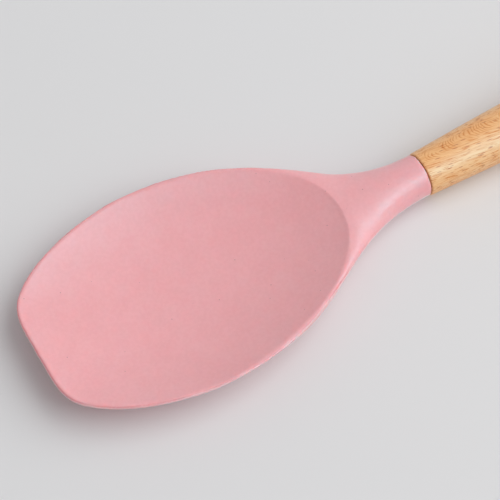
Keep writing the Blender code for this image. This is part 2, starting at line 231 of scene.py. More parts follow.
def add_lamp(name, direction, size, power):
    """A lamp of a width and height that shines at the spatula from a direction."""
    bpy.ops.object.select_all(action="DESELECT")
    bpy.ops.object.light_add(type="AREA")
    lamp = bpy.context.object
    lamp.name = name
    lamp.data.shape = "RECTANGLE"
    lamp.data.size, lamp.data.size_y = size
    lamp.data.energy = power
    lamp.location = lying @ (CAMERA_AIM + direction * LAMP_DISTANCE)
    lamp.rotation_euler = (lying.to_3x3() @ direction).to_track_quat("Z", "Y").to_euler()
    return lamp


key = add_lamp("key", KEY_DIRECTION, KEY_SIZE, KEY_POWER)
key.visible_glossy = False
window = add_lamp("window", WINDOW_DIRECTION, WINDOW_SIZE, WINDOW_POWER)
window.visible_diffuse = False
window.data.color = WINDOW_COLOUR
print("lamps:", KEY_POWER, "and", WINDOW_POWER, "watts")

# %% World
WORLD_LIGHT = 0.42
WORLD_SEEN = 0.9


def math_node(tree, operation, first, second=0.0, third=0.0):
    """The result of one sum on values or sockets."""
    node = add_node(tree, "ShaderNodeMath", i0=first, i1=second, i2=third)
    node.operation = operation
    return node.outputs[0]


def spread(tree, value, start, end, low=0.0, high=1.0):
    """Maps a value's range from start to end smoothly to low to high, and stays there outside."""
    node = add_node(tree, "ShaderNodeMapRange", i0=value, i1=start, i2=end, i3=low, i4=high)
    node.interpolation_type = "SMOOTHSTEP"
    return node.outputs[0]


world = bpy.data.worlds.new("studio")
bpy.context.scene.world = world
world.use_nodes = True
tree = world.node_tree
rays = tree.nodes.new("ShaderNodeLightPath").outputs
seen = math_node(tree, "MAXIMUM", rays["Is Camera Ray"], rays["Is Glossy Ray"])
seen = math_node(tree, "MAXIMUM", seen, rays["Is Transmission Ray"])
strength = spread(tree, seen, 0.0, 1.0, WORLD_LIGHT, WORLD_SEEN)
tree.nodes["Background"].inputs["Color"].default_value = (1, 1, 1, 1)
tree.links.new(strength, tree.nodes["Background"].inputs["Strength"])
bpy.context.scene.view_settings.view_transform = "Standard"
print("world: shines at", WORLD_LIGHT, "and is seen at", WORLD_SEEN)

# %% [markdown]
# ## Outline of the silicone head
# Seen from above, the head is a smooth outline: a narrow neck, a broad blade and a nearly
# straight front edge with rounded corners. It could be traced by hand, but a few Bezier stretches
# give a line that stays smooth and can be changed by a few lengths. The hollow's outline is
# another one. In front it is the head's outline drawn in by the width of the lip, and behind it
# is a round end of its own.

# %% Helpers for smooth lines
def mix(start, end, share):
    """The value at a share of the way from start to end."""
    return start + (end - start) * share


def ease(share):
    """From 0 to 1 with a level start and end."""
    share = min(max(share, 0.0), 1.0)
    return share * share * (3 - 2 * share)


def bezier(knot, lead_out, lead_in, end, steps):
    """Points of one Bezier stretch, without its last, which starts the next stretch."""
    corners = [Vector(point).to_3d() for point in (knot, lead_out, lead_in, end)]
    return [point.to_2d() for point in interpolate_bezier(*corners, steps + 1)[:-1]]


def value_at(line, x):
    """Second coordinate, at x, of a line given as points that run towards the tip."""
    for near, far in zip(line, line[1:]):
        if far.x <= x <= near.x:
            return mix(near.y, far.y, (near.x - x) / (near.x - far.x))
    return line[-1].y


print("a quarter of the way eases to", ease(0.25))

# %% Outline of the head from above
HEAD_LENGTH = 154.0 * MM
COLLAR_RADIUS = 8.15 * MM
BLADE_HALF_WIDTH = 40.6 * MM
WIDEST_FROM_COLLAR = 101.5 * MM
NECK_LEAD = 41.3 * MM
SHOULDER_LEAD = 53.5 * MM
SIDE_LEAD = 10.0 * MM
CORNER_FROM_TIP = 4.8 * MM
CORNER_HALF_WIDTH = 23.6 * MM
CORNER_ANGLE = radians(44.6)
CORNER_LEAD_BACK = 18.1 * MM
CORNER_LEAD_FRONT = 8.8 * MM
TIP_LEAD = 8.2 * MM
TIP_BOW = 0.6 * MM
NECK_STEPS = 60
SIDE_STEPS = 36
CORNER_STEPS = 30

side = Vector((-WIDEST_FROM_COLLAR, BLADE_HALF_WIDTH))
corner = Vector((CORNER_FROM_TIP - HEAD_LENGTH, CORNER_HALF_WIDTH))
forward = Vector((-cos(CORNER_ANGLE), -sin(CORNER_ANGLE)))
tip = Vector((-HEAD_LENGTH, 0))
out_of_side = side - Vector((SIDE_LEAD, 0))
front_plan = bezier(side, out_of_side, corner - forward * CORNER_LEAD_BACK, corner, SIDE_STEPS)
out_of_corner = corner + forward * CORNER_LEAD_FRONT
front_plan += bezier(corner, out_of_corner, tip + Vector((TIP_BOW, TIP_LEAD)), tip, CORNER_STEPS)
front_plan.append(tip)
collar = Vector((0, COLLAR_RADIUS))
out_of_neck = collar - Vector((NECK_LEAD, 0))
neck_plan = bezier(collar, out_of_neck, side + Vector((SHOULDER_LEAD, 0)), side, NECK_STEPS)
head_plan = neck_plan + front_plan
print("points on half of the outline:", len(head_plan))

# %% Outline of the hollow from above
LIP_WIDTH = 1.1 * MM
DISH_REAR_FROM_COLLAR = 34.9 * MM
DISH_REAR_LEAD = 31.3 * MM
DISH_SIDE_LEAD = 15.2 * MM
DISH_REAR_STEPS = 45


def drawn_in(outline, first, distance):
    """An outline moved inwards by a distance, each point square to the line there."""
    before = [first] + outline[:-1]
    after = outline[1:] + [Vector((outline[-1].x, -outline[-2].y))]
    moved = []
    for point, start, end in zip(outline, before, after):
        along = (end - start).normalized()
        moved.append(point + Vector((-along.y, along.x)) * distance)
    return moved


dish_front = drawn_in(front_plan, side + Vector((LIP_WIDTH, 0)), LIP_WIDTH)
rear = Vector((-DISH_REAR_FROM_COLLAR, 0))
out_of_rear = rear + Vector((0, DISH_REAR_LEAD))
into_side = dish_front[0] + Vector((DISH_SIDE_LEAD, 0))
dish_rear = bezier(rear, out_of_rear, into_side, dish_front[0], DISH_REAR_STEPS)
dish_plan = dish_rear + dish_front
print("points on half of the hollow's outline:", len(dish_plan))

# %% [markdown]
# ## Heights of the silicone head
# Seen from the side, the neck is round at the collar and turns flat and shallow into the blade.
# The hollow is a smooth bowl, whose floor is a power of the way from its centre to its edge. The
# blade's underside follows it at the thickness of the wall. These short functions say all that,
# so that the modelling steps after them can ask for any point of the head.

# %% Heights of the widest line and of the top
NECK_LENGTH = 61.0 * MM
EDGE_RISE_STARTS = 5.3 * MM
EDGE_RISE_AT_NECK = 9.15 * MM
EDGE_RISE_AT_TIP = 12.0 * MM
LIP_HEIGHT = 0.95 * MM


def rise_at(x):
    """Height of the blade's widest line, which climbs towards the tip."""
    share = (-x - NECK_LENGTH) / (HEAD_LENGTH - NECK_LENGTH)
    return mix(EDGE_RISE_AT_NECK, EDGE_RISE_AT_TIP, share)


def edge_height(x):
    """Height of the head's widest line: on the axis at the collar, near the top in the blade."""
    return rise_at(x) * ease((-x - EDGE_RISE_STARTS) / (NECK_LENGTH - EDGE_RISE_STARTS))


def top_height(x):
    """Height of the neck's top and of the crest of the rim."""
    return mix(COLLAR_RADIUS, rise_at(x) + LIP_HEIGHT, ease(-x / NECK_LENGTH))


print("crest of the rim at the tip in mm:", round(top_height(-HEAD_LENGTH) / MM, 2))

# %% Floor of the hollow
LIP_STEP = 0.25 * MM
DISH_CENTRE = Vector((-85.0 * MM, 0))
DISH_DEPTH = 10.0 * MM
DISH_POWER = 2.2
MICRON = MM / 1000
SLACK = 1e-12


def dish_share(x, y):
    """How far (x, y) lies from the hollow's centre to its edge, and the x of that edge."""
    ray = Vector((x, abs(y))) - DISH_CENTRE
    if ray.length < MICRON:
        return 0.0, x
    for start, end in zip(dish_plan, dish_plan[1:]):
        near = start - DISH_CENTRE
        far = end - DISH_CENTRE
        if ray.cross(near) <= SLACK and ray.cross(far) >= -SLACK:
            reach = near.cross(far) / ray.cross(far - near)
            return 1 / reach, DISH_CENTRE.x + ray.x * reach
    return 1.0, x


def floor_height(share, edge_x):
    """Height of the hollow's surface at a share of the way to its edge."""
    middle = top_height(DISH_CENTRE.x) - DISH_DEPTH
    return mix(middle, top_height(edge_x) - LIP_STEP, share**DISH_POWER)


print("lowest point of the hollow in mm:", round(floor_height(0, 0) / MM, 2))

# %% Underside of the head
NECK_UNDER_LEAD = 28.0 * MM
NECK_UNDER_HEIGHT = -3.0 * MM
BELLY_STARTS = 38.0 * MM
BELLY_FULL = 84.0 * MM
BELLY_LOW_FROM_COLLAR = 88.0 * MM
BELLY_LOW_HEIGHT = -4.3 * MM
BELLY_LEAD = 20.0 * MM
BELLY_LEAD_DROP = 1.1 * MM
FLOOR_WALL = 5.0 * MM
EDGE_WALL = 2.3 * MM
WALL_POWER = 4.0

belly_low = Vector((-BELLY_LOW_FROM_COLLAR, BELLY_LOW_HEIGHT))
neck_underside = bezier(
    Vector((0, -COLLAR_RADIUS)), (-NECK_UNDER_LEAD, NECK_UNDER_HEIGHT),
    belly_low + Vector((BELLY_LEAD, -BELLY_LEAD_DROP)), belly_low, NECK_STEPS,
)
neck_underside.append(belly_low)


def belly_share(x):
    """From 0 in the neck to 1 in the blade."""
    return ease((-x - BELLY_STARTS) / (BELLY_FULL - BELLY_STARTS))


def underside(x, y):
    """Height of the head's lower surface, before it rounds up to its edge."""
    share, edge_x = dish_share(x, y)
    if share >= 1:
        share, edge_x = 1.0, x
    blade = floor_height(share, edge_x) - mix(FLOOR_WALL, EDGE_WALL, share**WALL_POWER)
    return mix(value_at(neck_underside, x), blade, belly_share(x))


print("belly under the hollow in mm:", round(underside(DISH_CENTRE.x, 0) / MM, 2))

# %% [markdown]
# ## Body of the head
# On the real spatula the head is one moulding, poured round a nylon core. It could be sculpted,
# or lofted between a few sections. Here a round disc is extruded ring by ring, and then each ring
# takes the section of its place: round at the collar, flat on top and shallow in the blade. That
# keeps an exact hold on the outline.

# %% Helpers for modelling
def only(piece):
    """Selects one object alone and makes it the active one."""
    bpy.ops.object.select_all(action="DESELECT")
    piece.select_set(True)
    bpy.context.view_layer.objects.active = piece


def edit_all(piece):
    """Opens a piece in edit mode with everything selected."""
    only(piece)
    bpy.ops.object.mode_set(mode="EDIT")
    bpy.ops.mesh.select_all(action="SELECT")


def merge_and_turn_out(piece):
    """Merges doubled corners and turns all faces outwards."""
    edit_all(piece)
    bpy.ops.mesh.remove_doubles(threshold=MICRON)
    bpy.ops.mesh.normals_make_consistent(inside=False)
    bpy.ops.object.mode_set(mode="OBJECT")


def in_mm(piece):
    """Size of a piece in millimetres, to print."""
    return [round(side / MM, 2) for side in piece.dimensions]


def stack_of_rings(name, points, rings, place):
    """Extrudes a disc into rings, then moves each corner to place(ring, turn)."""
    bpy.ops.object.select_all(action="DESELECT")
    bpy.ops.mesh.primitive_circle_add(vertices=points, radius=1, fill_type="NGON")
    stack = bpy.context.object
    stack.name = name
    bpy.ops.object.mode_set(mode="EDIT")
    for _ in range(rings - 1):
        bpy.ops.mesh.extrude_region_move(TRANSFORM_OT_translate={"value": (0, 0, 1)})
    bpy.ops.object.mode_set(mode="OBJECT")
    for vertex in stack.data.vertices:
        x, y, z = vertex.co
        vertex.co = place(round(z), atan2(y, x))
    merge_and_turn_out(stack)
    return stack


# %% Extrude the rings and give each its section
NECK_ROUND_TO = 28.0 * MM
NECK_SQUARE_FROM = 52.0 * MM
ROUND = 2
SQUARE_TOP = 8
SQUARE_UNDER = 7
HEAD_RING_POINTS = 112

stations = head_plan[:-1]


def rounded(across, power):
    """Height, from 0 to 1, of a rounded section at a place across it, from -1 to 1."""
    return max(1 - abs(across) ** power, 0.0) ** (1 / power)


def head_point(ring, turn):
    """The point of a ring's section at a turn round it, from +Y over the top."""
    x, half_width = stations[ring]
    edge = edge_height(x)
    y = half_width * cos(turn)
    if sin(turn) >= 0:
        squareness = ease((-x - NECK_ROUND_TO) / (NECK_SQUARE_FROM - NECK_ROUND_TO))
        section = rounded(cos(turn), mix(ROUND, SQUARE_TOP, squareness))
        return Vector((x, y, edge + (top_height(x) - edge) * section))
    section = rounded(cos(turn), mix(ROUND, SQUARE_UNDER, belly_share(x)))
    return Vector((x, y, edge - (edge - underside(x, y)) * section))


head = stack_of_rings("spatula_head", HEAD_RING_POINTS, len(stations), head_point)
print("body:", len(head.data.vertices), "corners, size in mm:", in_mm(head))

# %% [markdown]
# ## The hollow
# The hollow could be pressed into the body by moving its corners, but then its edge would be
# ragged. So it is cut with a tool that has the shape of what the hollow holds. It starts as a
# sphere: its lower half is pressed into the bowl, ring by ring, its equator becomes the hollow's
# outline, and its upper half is pushed up into a lid that stands clear above the blade.

# %% Press a sphere into the bowl's shape
BOWL_RINGS = 28
LID_HEIGHT = 15.0 * MM

dish_loop = dish_plan + [Vector((point.x, -point.y)) for point in reversed(dish_plan[1:-1])]
bpy.ops.object.select_all(action="DESELECT")
bpy.ops.mesh.primitive_uv_sphere_add(
    segments=len(dish_loop), ring_count=2 * BOWL_RINGS, radius=1
)
bowl = bpy.context.object
bowl.name = "bowl_tool"
for vertex in bowl.data.vertices:
    x, y, z = vertex.co
    longitude = round(atan2(y, x) / (2 * pi) * len(dish_loop)) % len(dish_loop)
    ring = round(atan2(sqrt(x * x + y * y), -z) / pi * 2 * BOWL_RINGS)
    outline = dish_loop[longitude]
    share = min(ring, 2 * BOWL_RINGS - ring + 1) / BOWL_RINGS
    share = min(share, 1.0) if 0 < ring < 2 * BOWL_RINGS else 0.0
    spot = DISH_CENTRE + (outline - DISH_CENTRE) * share
    height = LID_HEIGHT + DISH_DEPTH
    if ring <= BOWL_RINGS:
        height = floor_height(share, outline.x)
    vertex.co = (spot.x, spot.y, height)
merge_and_turn_out(bowl)
print("bowl tool: size in mm:", in_mm(bowl))

# %% Cut the hollow
def apply_modifier(piece, kind, **settings):
    """Adds a modifier with its settings to a piece and applies it."""
    only(piece)
    modifier = piece.modifiers.new(kind.lower(), kind)
    for setting, value in settings.items():
        setattr(modifier, setting, value)
    bpy.ops.object.modifier_apply(modifier=modifier.name)


def cut(piece, tool):
    """Cuts a tool's shape out of a piece and removes the tool."""
    apply_modifier(piece, "BOOLEAN", operation="DIFFERENCE", solver="EXACT", object=tool)
    bpy.data.objects.remove(tool)


cut(head, bowl)
print("hollowed head:", len(head.data.polygons), "faces")

# %% [markdown]
# ## Soft edges
# Moulded silicone has no sharp edge. Bevels could round each one, but here a voxel remesh turns
# the head into one even net of small squares, and a few rounds of smoothing then ease every edge
# to a radius of about half a millimetre.

# %% Remesh and smooth the head
HEAD_VOXEL = 0.55 * MM
SMOOTH_STRENGTH = 0.5
SMOOTH_ROUNDS = 4

apply_modifier(head, "REMESH", mode="VOXEL", voxel_size=HEAD_VOXEL)
apply_modifier(head, "SMOOTH", factor=SMOOTH_STRENGTH, iterations=SMOOTH_ROUNDS)
print("smoothed head:", len(head.data.polygons), "faces, size in mm:", in_mm(head))

# %% [markdown]
# ## Flat of the belly and the core's pocket
# The belly has a small flat where the head stands on the table, and a cut just over the table's
# plane gives it. The silicone is poured round the nylon core, so it has the core's shape inside.
# That cut is made with a copy of the core's own mesh, merged and swollen a little so that the two
# stay apart. Smooth shading hides the net's facets.

# %% Lay the head down and flatten its belly
TABLE_GAP = 0.005 * MM


def lay_down(piece):
    """Turns and moves a piece's mesh from the handle's axis to where the spatula lies."""
    piece.data.transform(lying)
    piece.data.update()


lay_down(head)
edit_all(head)
bpy.ops.mesh.bisect(
    plane_co=(0, 0, TABLE_GAP), plane_no=(0, 0, 1), clear_inner=True, use_fill=True,
    threshold=MICRON,
)
bpy.ops.object.mode_set(mode="OBJECT")
print("head on the table: size in mm:", in_mm(head))

# %% Cut the pocket for the core
CORE_GAP = 0.3 * MM
HEAD_SOFT_UP_TO = radians(60)

only(frame["nodes"]["nylon_core"])
bpy.ops.object.duplicate()
pocket = bpy.context.object
pocket.name = "core_pocket"
merge_and_turn_out(pocket)
edit_all(pocket)
bpy.ops.transform.shrink_fatten(value=CORE_GAP, use_even_offset=True)
bpy.ops.object.mode_set(mode="OBJECT")
cut(head, pocket)
only(head)
bpy.ops.object.shade_smooth_by_angle(angle=HEAD_SOFT_UP_TO)
print("head with its pocket:", len(head.data.polygons), "faces")

# %% [markdown]
# ## Parting line
# The two halves of the mould meet round the side of the head and leave a thin ridge there. At the
# collar it lies a little below the axis, and there it is drawn wider, so that its painted highlight
# shows along the lower edge. It could be modelled, but it is so low that the net would have to be
# far finer. Instead each corner of the net is told how high it lies over that line, how far it is
# from the outline and how far from the collar's end, and the material draws the ridge, its painted
# highlight and a painted shade line over it from these three numbers.

# %% Spread points along the outline
OUTLINE_STEP = 0.25 * MM


def evenly(outline, step):
    """Points along an outline that lie a step apart."""
    points = []
    for start, end in zip(outline, outline[1:]):
        count = max(round((end - start).length / step), 1)
        points += [start.lerp(end, index / count) for index in range(count)]
    return points + [outline[-1]]


outline_points = evenly(head_plan, OUTLINE_STEP)
nearest = KDTree(len(outline_points))
for index, point in enumerate(outline_points):
    nearest.insert(point.to_3d(), index)
nearest.balance()
print("points along the outline:", len(outline_points))

# %% Write three numbers at each corner
PARTING_DROP = 2.0 * MM
PARTING_LEVEL_FROM = 48.0 * MM
# At the collar the line counts this many times wider, so that its painted highlight spreads to the
# lower edge.
PARTING_WIDER_AT_COLLAR = 4.0

standing = lying.inverted()
parting = head.data.attributes.new("parting", "FLOAT", "POINT").data
inwards = head.data.attributes.new("inwards", "FLOAT", "POINT").data
from_end = head.data.attributes.new("from_end", "FLOAT", "POINT").data
for vertex in head.data.vertices:
    spot = standing @ vertex.co
    in_neck = 1 - ease(-spot.x / PARTING_LEVEL_FROM)
    over_line = spot.z - edge_height(spot.x) + PARTING_DROP * in_neck
    parting[vertex.index].value = over_line / mix(1, PARTING_WIDER_AT_COLLAR, in_neck)
    inwards[vertex.index].value = nearest.find((spot.x, abs(spot.y), 0))[2]
    from_end[vertex.index].value = -spot.x
print("corners with a place on the mould:", len(head.data.vertices))

# %% [markdown]
# ## Pink silicone
# Food silicone is matt and slightly see-through: light goes in half a millimetre or so, which
# softens its shadows and warms them. Subsurface scattering gives that, and a little velvet gives
# its soft bloom. On top of them come faint clouds and finer mottles in the pink, the grain of a
# blasted mould and a few specks of the dust that silicone always draws. Along the parting ridge a
# pale line is painted on as a highlight, in patches and strongest at the collar, and along the
# blade a thin line over it is painted darker as shade. Where a name holds two numbers, as
# SHADE_STARTS does, the pattern is nothing at the first and full at the second. Names that end in
# RANGE give the least and the most that comes out.

# %% Helpers for colours and patterns
CURVE_START = 0.04
CURVE_SLOPE = 12.92
CURVE_SHIFT = 0.055
CURVE_POWER = 2.4
SPOT_CORE = 0.4


def light_value(screen):
    """One channel of a colour as seen on a screen, 0 to 255, turned into a light value."""
    share = screen / 255
    if share < CURVE_START:
        return share / CURVE_SLOPE
    return ((share + CURVE_SHIFT) / (1 + CURVE_SHIFT)) ** CURVE_POWER


def light(screen_colour):
    """A colour as seen on a screen turned into light values."""
    return tuple(light_value(channel) for channel in screen_colour)


def product(tree, first, *others):
    """The product of values or sockets."""
    for other in others:
        first = math_node(tree, "MULTIPLY", first, other)
    return first


def speckle(tree, vector, scale, radius, share):
    """1 in small round spots: one in each cell, in a share of the cells."""
    cells = add_node(tree, "ShaderNodeTexVoronoi", Vector=vector, Scale=scale)
    spot = spread(tree, cells.outputs["Distance"], radius, radius * SPOT_CORE)
    chosen = add_node(tree, "ShaderNodeSeparateColor", Color=cells.outputs["Color"]).outputs[0]
    return product(tree, spot, math_node(tree, "LESS_THAN", chosen, share))


print("middle grey on a screen is", round(light_value(128), 3), "of the light")

# %% Pink with clouds, mottles and dust
PINK = (246, 184, 189)
PINK_DEEP = (241, 176, 181)
DUST = (150, 104, 108)
SILICONE_ROUGHNESS = 0.4
NOISE_MIDDLE = (0.35, 0.65)
CLOUDS_PER_M = 120
CLOUDS_RANGE = (0.2, 0.8)
MOTTLES_PER_M = 800
MOTTLES_SHARE = 0.5
DUST_PER_M = 330
DUST_RADIUS = 0.075
DUST_CELLS = 0.3
DUST_STRENGTH = 0.75

silicone, tree, shader = new_material("pink_silicone", SILICONE_ROUGHNESS)
place = tree.nodes.new("ShaderNodeTexCoord").outputs["Object"]
clouds = noise_node(tree, place, CLOUDS_PER_M, detail=3.0)
clouds = spread(tree, clouds, *NOISE_MIDDLE, *CLOUDS_RANGE)
mottles = spread(tree, noise_node(tree, place, MOTTLES_PER_M, detail=3.0), *NOISE_MIDDLE)
clouds = product(tree, clouds, 1 - MOTTLES_SHARE)
clouds = math_node(tree, "MULTIPLY_ADD", mottles, MOTTLES_SHARE, clouds)
pink = colour_mix(tree, clouds, light(PINK_DEEP), light(PINK))
dust = speckle(tree, place, DUST_PER_M, DUST_RADIUS, DUST_CELLS)
pink = colour_mix(tree, product(tree, dust, DUST_STRENGTH), pink, light(DUST))
print("pink:", PINK, "to", PINK_DEEP)

# %% Parting line in the pink
# Painted shade: PINK_SHADED darkens a thin line just over the parting line along the blade.
PINK_SHADED = (226, 136, 143)
# Painted highlight: a pale pink put on the parting ridge and on the collar's end.
PINK_HIGHLIGHT = (252, 232, 232)
RIDGE_REACH = (1.4 * MM, 0.98 * MM)
RIDGE_FLANK = (0.5 * MM, 0.2 * MM)
SHADE_STARTS = (0.4 * MM, 0.65 * MM)
SHADE_ENDS = (1.3 * MM, 1.0 * MM)
SHADE_REACH = (0.75 * MM, 0.4 * MM)
SHADE_IN_BLADE = (20.0 * MM, 50.0 * MM)
SHADE_STRENGTH = 0.6
# Patches of the ridge's painted highlight, and how much of it is left in the blade.
RIDGE_PATCHES_PER_M = 90
RIDGE_HIGHLIGHT_RANGE = (0.6, 1.0)
RIDGE_HIGHLIGHT_IN_BLADE = 0.4
# Painted highlight: a pale lip painted round the collar's end.
END_LIP_HIGHLIGHT = (0.6 * MM, 0.25 * MM)
END_LIP_HIGHLIGHT_STRENGTH = 0.3


def attribute(tree, name):
    """A number that was written at the mesh's corners."""
    node = tree.nodes.new("ShaderNodeAttribute")
    node.attribute_name = name
    return node.outputs["Fac"]


parting_height = attribute(tree, "parting")
from_outline = attribute(tree, "inwards")
from_end = attribute(tree, "from_end")
ridge = spread(tree, math_node(tree, "ABSOLUTE", parting_height), *RIDGE_FLANK)
ridge = product(tree, ridge, spread(tree, from_outline, *RIDGE_REACH))
# A thin line over the ridge along the blade, painted darker as shade.
painted_shade_over_ridge = product(
    tree, spread(tree, parting_height, *SHADE_STARTS), spread(tree, parting_height, *SHADE_ENDS),
    spread(tree, from_outline, *SHADE_REACH), spread(tree, from_end, *SHADE_IN_BLADE),
)
pink = colour_mix(tree, product(tree, painted_shade_over_ridge, SHADE_STRENGTH), pink, light(PINK_SHADED))
# The pale ridge is a painted highlight, in patches and strongest at the collar.
ridge_highlight = noise_node(tree, place, RIDGE_PATCHES_PER_M, detail=2.0)
ridge_highlight = spread(tree, ridge_highlight, *NOISE_MIDDLE, *RIDGE_HIGHLIGHT_RANGE)
ridge_highlight = product(
    tree, ridge_highlight, spread(tree, from_end, 0.0, PARTING_LEVEL_FROM, 1.0, RIDGE_HIGHLIGHT_IN_BLADE)
)
pink = colour_mix(tree, product(tree, ridge, ridge_highlight), pink, light(PINK_HIGHLIGHT))
# The collar's end gets a painted highlight, a pale lip.
end_lip_highlight = spread(tree, from_end, *END_LIP_HIGHLIGHT)
pink = colour_mix(tree, product(tree, end_lip_highlight, END_LIP_HIGHLIGHT_STRENGTH), pink, light(PINK_HIGHLIGHT))
tree.links.new(pink, shader.inputs["Base Color"])
print("parting line:", round(2 * RIDGE_FLANK[0] / MM, 2), "mm wide in the blade")

# %% Grain of the mould and rubbed rim
NOISE_WIDE = (0.3, 0.7)
PATCHES_PER_M = 140
PATCH_CHANGE = 0.04
RIM_WIDTH = 2.0 * MM
RIM_SMOOTHER = 0.06
GRAIN_PER_M = 2600
GRAIN_DEPTH = 0.012 * MM
PARTING_RISE = 0.07 * MM


def bump(tree, height, depth, below=None):
    """A normal that rises by depth where the height goes from 0 to 1, over another bump."""
    node = add_node(tree, "ShaderNodeBump", Height=height, Distance=depth)
    if below is not None:
        tree.links.new(below, node.inputs["Normal"])
    return node.outputs["Normal"]


patches = noise_node(tree, place, PATCHES_PER_M, detail=4.0)
roughness = spread(
    tree, patches, *NOISE_WIDE, SILICONE_ROUGHNESS - PATCH_CHANGE, SILICONE_ROUGHNESS + PATCH_CHANGE
)
rubbed = spread(tree, from_outline, RIM_WIDTH, 0.0, 0.0, RIM_SMOOTHER)
tree.links.new(math_node(tree, "SUBTRACT", roughness, rubbed), shader.inputs["Roughness"])
relief = bump(tree, noise_node(tree, place, GRAIN_PER_M, detail=2.0), GRAIN_DEPTH)
relief = bump(tree, ridge, PARTING_RISE, below=relief)
tree.links.new(relief, shader.inputs["Normal"])
print("grain:", round(1000 / GRAIN_PER_M, 2), "mm from spot to spot")

# %% Light inside the silicone, and its gloss
SCATTER_DEPTH = 0.5 * MM
SCATTER_REACH = (1.0, 0.42, 0.36)
SILICONE_IOR = 1.41
SILICONE_GLOSS = 0.7
SILICONE_VELVET = 0.25
VELVET_ROUGHNESS = 0.4

shader.inputs["Subsurface Weight"].default_value = 1.0
shader.inputs["Subsurface Radius"].default_value = SCATTER_REACH
shader.inputs["Subsurface Scale"].default_value = SCATTER_DEPTH
shader.inputs["IOR"].default_value = SILICONE_IOR
shader.inputs["Sheen Weight"].default_value = SILICONE_VELVET
shader.inputs["Sheen Roughness"].default_value = VELVET_ROUGHNESS
shader.inputs["Specular IOR Level"].default_value = SILICONE_GLOSS
head.data.materials.clear()
head.data.materials.append(silicone)
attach(head, "root")
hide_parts("silicone_head")
print("silicone on", head.name)

# %% [markdown]
# ## Beech handle
# The handle is turned on a lathe. A cylinder could be swelled ring by ring, but here it is made
# as on the lathe: half of its outline is drawn point by point and spun round the axis. It has a
# slightly rounded shoulder that stands a hair over the collar, a slow swell for the palm, a waist
# and a rounded butt. At the shoulder the outline turns in and runs back to the bottom of the bore
# that holds the tang. Last, all of it is sanded down by a few hundredths of a millimetre, so that
# it stays within the frame's box.

# %% Outline of the handle
FIT_GAP = 0.3 * MM
HANDLE_LENGTH = 166.0 * MM
HANDLE_STEP_OVER_COLLAR = 0.25 * MM
SHOULDER_ROUND = 0.35 * MM
SHOULDER_LEADS = (0.55, 0.8)
FLARE_LEAD = 35.0 * MM
FLARE_RISE = 1.6 * MM
SWELL_RADIUS = 10.6 * MM
SWELL_FROM_SHOULDER = 84.0 * MM
SWELL_LEAD_BACK = 21.0 * MM
SWELL_LEAD_ON = 37.0 * MM
WAIST_RADIUS = 9.7 * MM
BUTT_ROUND = 8.0 * MM
BUTT_FLAT_RADIUS = 3.0 * MM
BUTT_LEAD = 0.6
SHOULDER_STEPS = 8
LONG_STEPS = 44
BUTT_STEPS = 20

start = FIT_GAP
end = start + HANDLE_LENGTH
radius = COLLAR_RADIUS + HANDLE_STEP_OVER_COLLAR
edge = Vector((start, radius - SHOULDER_ROUND))
shoulder = Vector((start + SHOULDER_ROUND, radius))
swell = Vector((start + SWELL_FROM_SHOULDER, SWELL_RADIUS))
waist = Vector((end - BUTT_ROUND, WAIST_RADIUS))
flat = Vector((end, BUTT_FLAT_RADIUS))
out_of_edge = (start, mix(edge.y, radius, SHOULDER_LEADS[0]))
into_shoulder = mix(edge, shoulder, SHOULDER_LEADS[1])
handle_line = bezier(edge, out_of_edge, into_shoulder, shoulder, SHOULDER_STEPS)
handle_line += bezier(
    shoulder, shoulder + Vector((FLARE_LEAD, FLARE_RISE)),
    swell - Vector((SWELL_LEAD_BACK, 0)), swell, LONG_STEPS,
)
handle_line += bezier(
    swell, swell + Vector((SWELL_LEAD_ON, 0)),
    waist - Vector((SWELL_LEAD_ON, 0)), waist, LONG_STEPS,
)
handle_line += bezier(
    waist, waist + Vector((BUTT_ROUND * BUTT_LEAD, 0)),
    flat + Vector((0, (WAIST_RADIUS - BUTT_FLAT_RADIUS) * BUTT_LEAD)), flat, BUTT_STEPS,
)
print("points on the handle's outline:", len(handle_line))

# %% Spin the outline on the lathe
BORE_RADIUS = 3.9 * MM
BORE_DEPTH = 55.0 * MM
LATHE_STEPS = 96
SANDED_OFF = 0.03 * MM

bore = [Vector((BORE_DEPTH, 0)), Vector((BORE_DEPTH, BORE_RADIUS)), Vector((FIT_GAP, BORE_RADIUS))]
lathe_line = bore + handle_line + [flat, Vector((end, 0))]
bpy.ops.object.select_all(action="DESELECT")
bpy.ops.mesh.primitive_plane_add(size=MM, location=(BORE_DEPTH, 0, 0))
handle = bpy.context.object
handle.name = "turned_handle"
bpy.ops.object.transform_apply(location=True)
edit_all(handle)
bpy.ops.mesh.merge(type="CENTER")
for near, far in zip(lathe_line, lathe_line[1:]):
    step = (far.x - near.x, 0, far.y - near.y)
    bpy.ops.mesh.extrude_region_move(TRANSFORM_OT_translate={"value": step})
bpy.ops.mesh.select_all(action="SELECT")
bpy.ops.mesh.spin(steps=LATHE_STEPS, angle=2 * pi, center=(0, 0, 0), axis=(1, 0, 0))
bpy.ops.object.mode_set(mode="OBJECT")
merge_and_turn_out(handle)
edit_all(handle)
bpy.ops.transform.shrink_fatten(value=-SANDED_OFF)
bpy.ops.object.mode_set(mode="OBJECT")
print("turned handle:", len(handle.data.polygons), "faces, size in mm:", in_mm(handle))

# %% [markdown]
# ## Hanging hole
# The hole near the butt has eased mouths, as sanding leaves them. A plain drilled hole with a
# bevel would be uneven, because the handle is round there. So the drill itself gets flared ends
# whose depth is measured from the round surface: it starts as a stack of rings, and each corner
# is lowered by as much as the handle falls away at that place.

# %% Draw the drill with its flared ends
HOLE_RADIUS = 4.0 * MM
HOLE_FROM_END = 15.0 * MM
HOLE_EASE = 0.9 * MM
EASE_STEPS = 7
EASE_END = radians(76)
DRILL_ABOVE = 4.0 * MM

